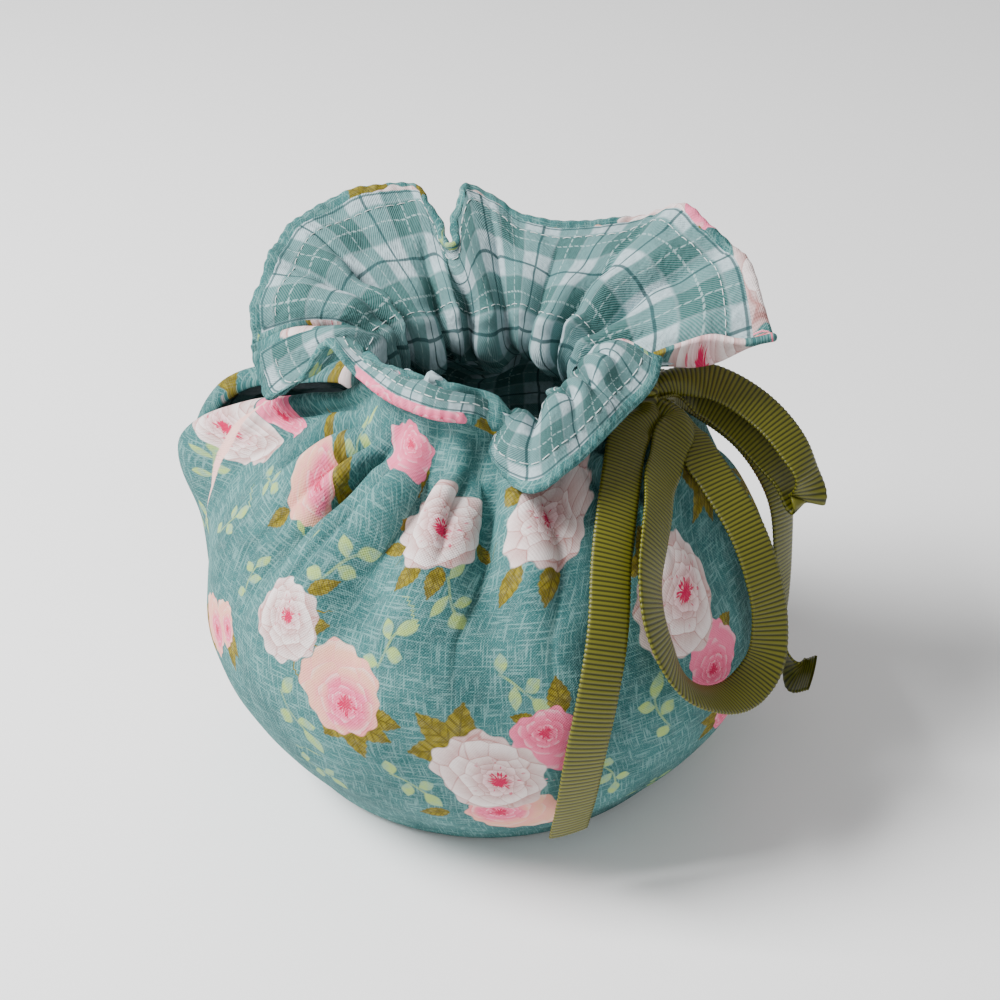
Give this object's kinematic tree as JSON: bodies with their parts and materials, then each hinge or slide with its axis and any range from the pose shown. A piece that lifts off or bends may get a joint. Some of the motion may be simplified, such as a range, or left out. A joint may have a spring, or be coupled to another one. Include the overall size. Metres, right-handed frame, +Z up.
{
  "type": "tea cosy",
  "caption": "Fitted drawstring tea cosy in floral cotton with a plaid lining, a gathered neck with a standing ruffle, a ribbon bow, and openings for spout and handle.",
  "frame": {"origin": "bottom centre of the whole object's box, on the plane the hem rests on", "axes": "+Z up, +X to the handle slit and the bow, -X to the spout hole, -Y to the front"},
  "size_m": [0.1687, 0.1458, 0.1316],
  "materials": {
    "floral_cotton": "matte",
    "plaid_cotton": "matte",
    "grosgrain_ribbon": "ribbed"
  },
  "bodies": {
    "root": {"front_panel": "floral_cotton", "back_panel": "floral_cotton", "lining_front": "plaid_cotton", "lining_back": "plaid_cotton", "bow_knot": "grosgrain_ribbon", "loop_front": "grosgrain_ribbon", "loop_back": "grosgrain_ribbon", "tail_front": "grosgrain_ribbon", "tail_back": "grosgrain_ribbon"}
  },
  "joints": []
}
